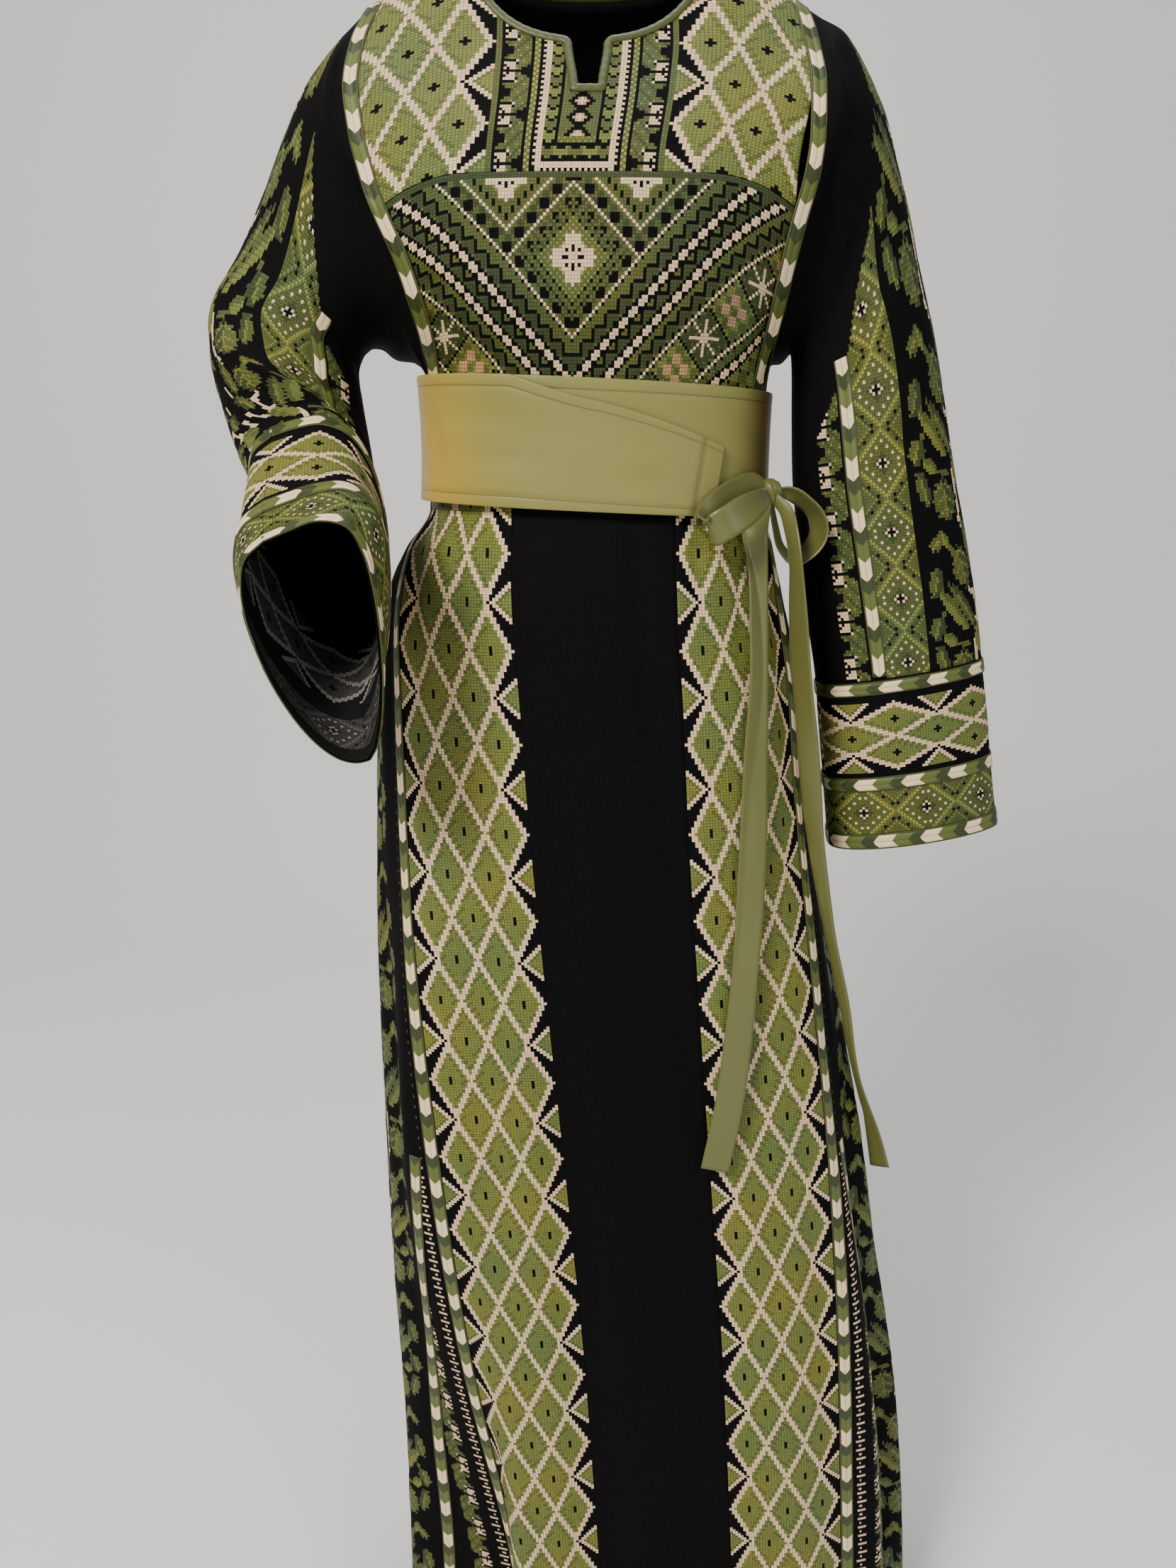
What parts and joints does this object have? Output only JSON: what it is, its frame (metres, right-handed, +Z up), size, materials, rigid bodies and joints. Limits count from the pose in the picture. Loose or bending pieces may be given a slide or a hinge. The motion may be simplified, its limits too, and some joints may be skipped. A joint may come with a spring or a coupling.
{
  "type": "embroidered dress",
  "caption": "Long black cross-stitched thobe with bell sleeves, an open square neck with a slit, satin braids and a wide wrapped belt tied at the side.",
  "frame": {"origin": "centre of the neck opening at the height of the shoulder points beside it, where the wearer's shoulders carry the dress", "axes": "+Z up along the body, -Y to the wearer's front, +X to the wearer's left"},
  "size_m": [0.6328, 0.3962, 1.5102],
  "materials": {
    "embroidered_cloth": "matt black crepe with raised cross-stitch",
    "braid_satin": "satin-stitched chevrons in cream, light and dark green",
    "belt_satin": "olive satin",
    "tie_satin": "sage satin ribbon",
    "neck_binding": "rolled olive satin"
  },
  "bodies": {
    "root": {"armhole_braid_l": "braid_satin", "armhole_braid_r": "braid_satin", "belt_back": "belt_satin", "belt_over": "belt_satin", "belt_under": "belt_satin", "bodice_back": "embroidered_cloth", "chest_panel": "embroidered_cloth", "cuff_braid_l1_back": "braid_satin", "cuff_braid_l1_front": "braid_satin", "cuff_braid_l2_back": "braid_satin", "cuff_braid_l2_front": "braid_satin", "cuff_braid_l3_back": "braid_satin", "cuff_braid_l3_front": "braid_satin", "cuff_braid_r1_back": "braid_satin", "cuff_braid_r1_front": "braid_satin", "cuff_braid_r2_back": "braid_satin", "cuff_braid_r2_front": "braid_satin", "cuff_braid_r3_back": "braid_satin", "cuff_braid_r3_front": "braid_satin", "cuff_l_back": "embroidered_cloth", "cuff_l_front": "embroidered_cloth", "cuff_r_back": "embroidered_cloth", "cuff_r_front": "embroidered_cloth", "neck_binding_back": "neck_binding", "neck_binding_front": "neck_binding", "side_braid_l": "braid_satin", "side_braid_r": "braid_satin", "skirt_back_l": "embroidered_cloth", "skirt_back_r": "embroidered_cloth", "skirt_braid_l": "braid_satin", "skirt_braid_r": "braid_satin", "skirt_front": "embroidered_cloth", "skirt_side_l": "embroidered_cloth", "skirt_side_r": "embroidered_cloth", "sleeve_braid_l": "braid_satin", "sleeve_braid_r": "braid_satin", "sleeve_l_back": "embroidered_cloth", "sleeve_l_front": "embroidered_cloth", "sleeve_r_back": "embroidered_cloth", "sleeve_r_front": "embroidered_cloth", "tie_knot": "tie_satin", "tie_loop_inner": "tie_satin", "tie_loop_outer": "tie_satin", "tie_tail_inner": "tie_satin", "tie_tail_outer": "tie_satin", "yoke_front": "embroidered_cloth"}
  },
  "joints": []
}
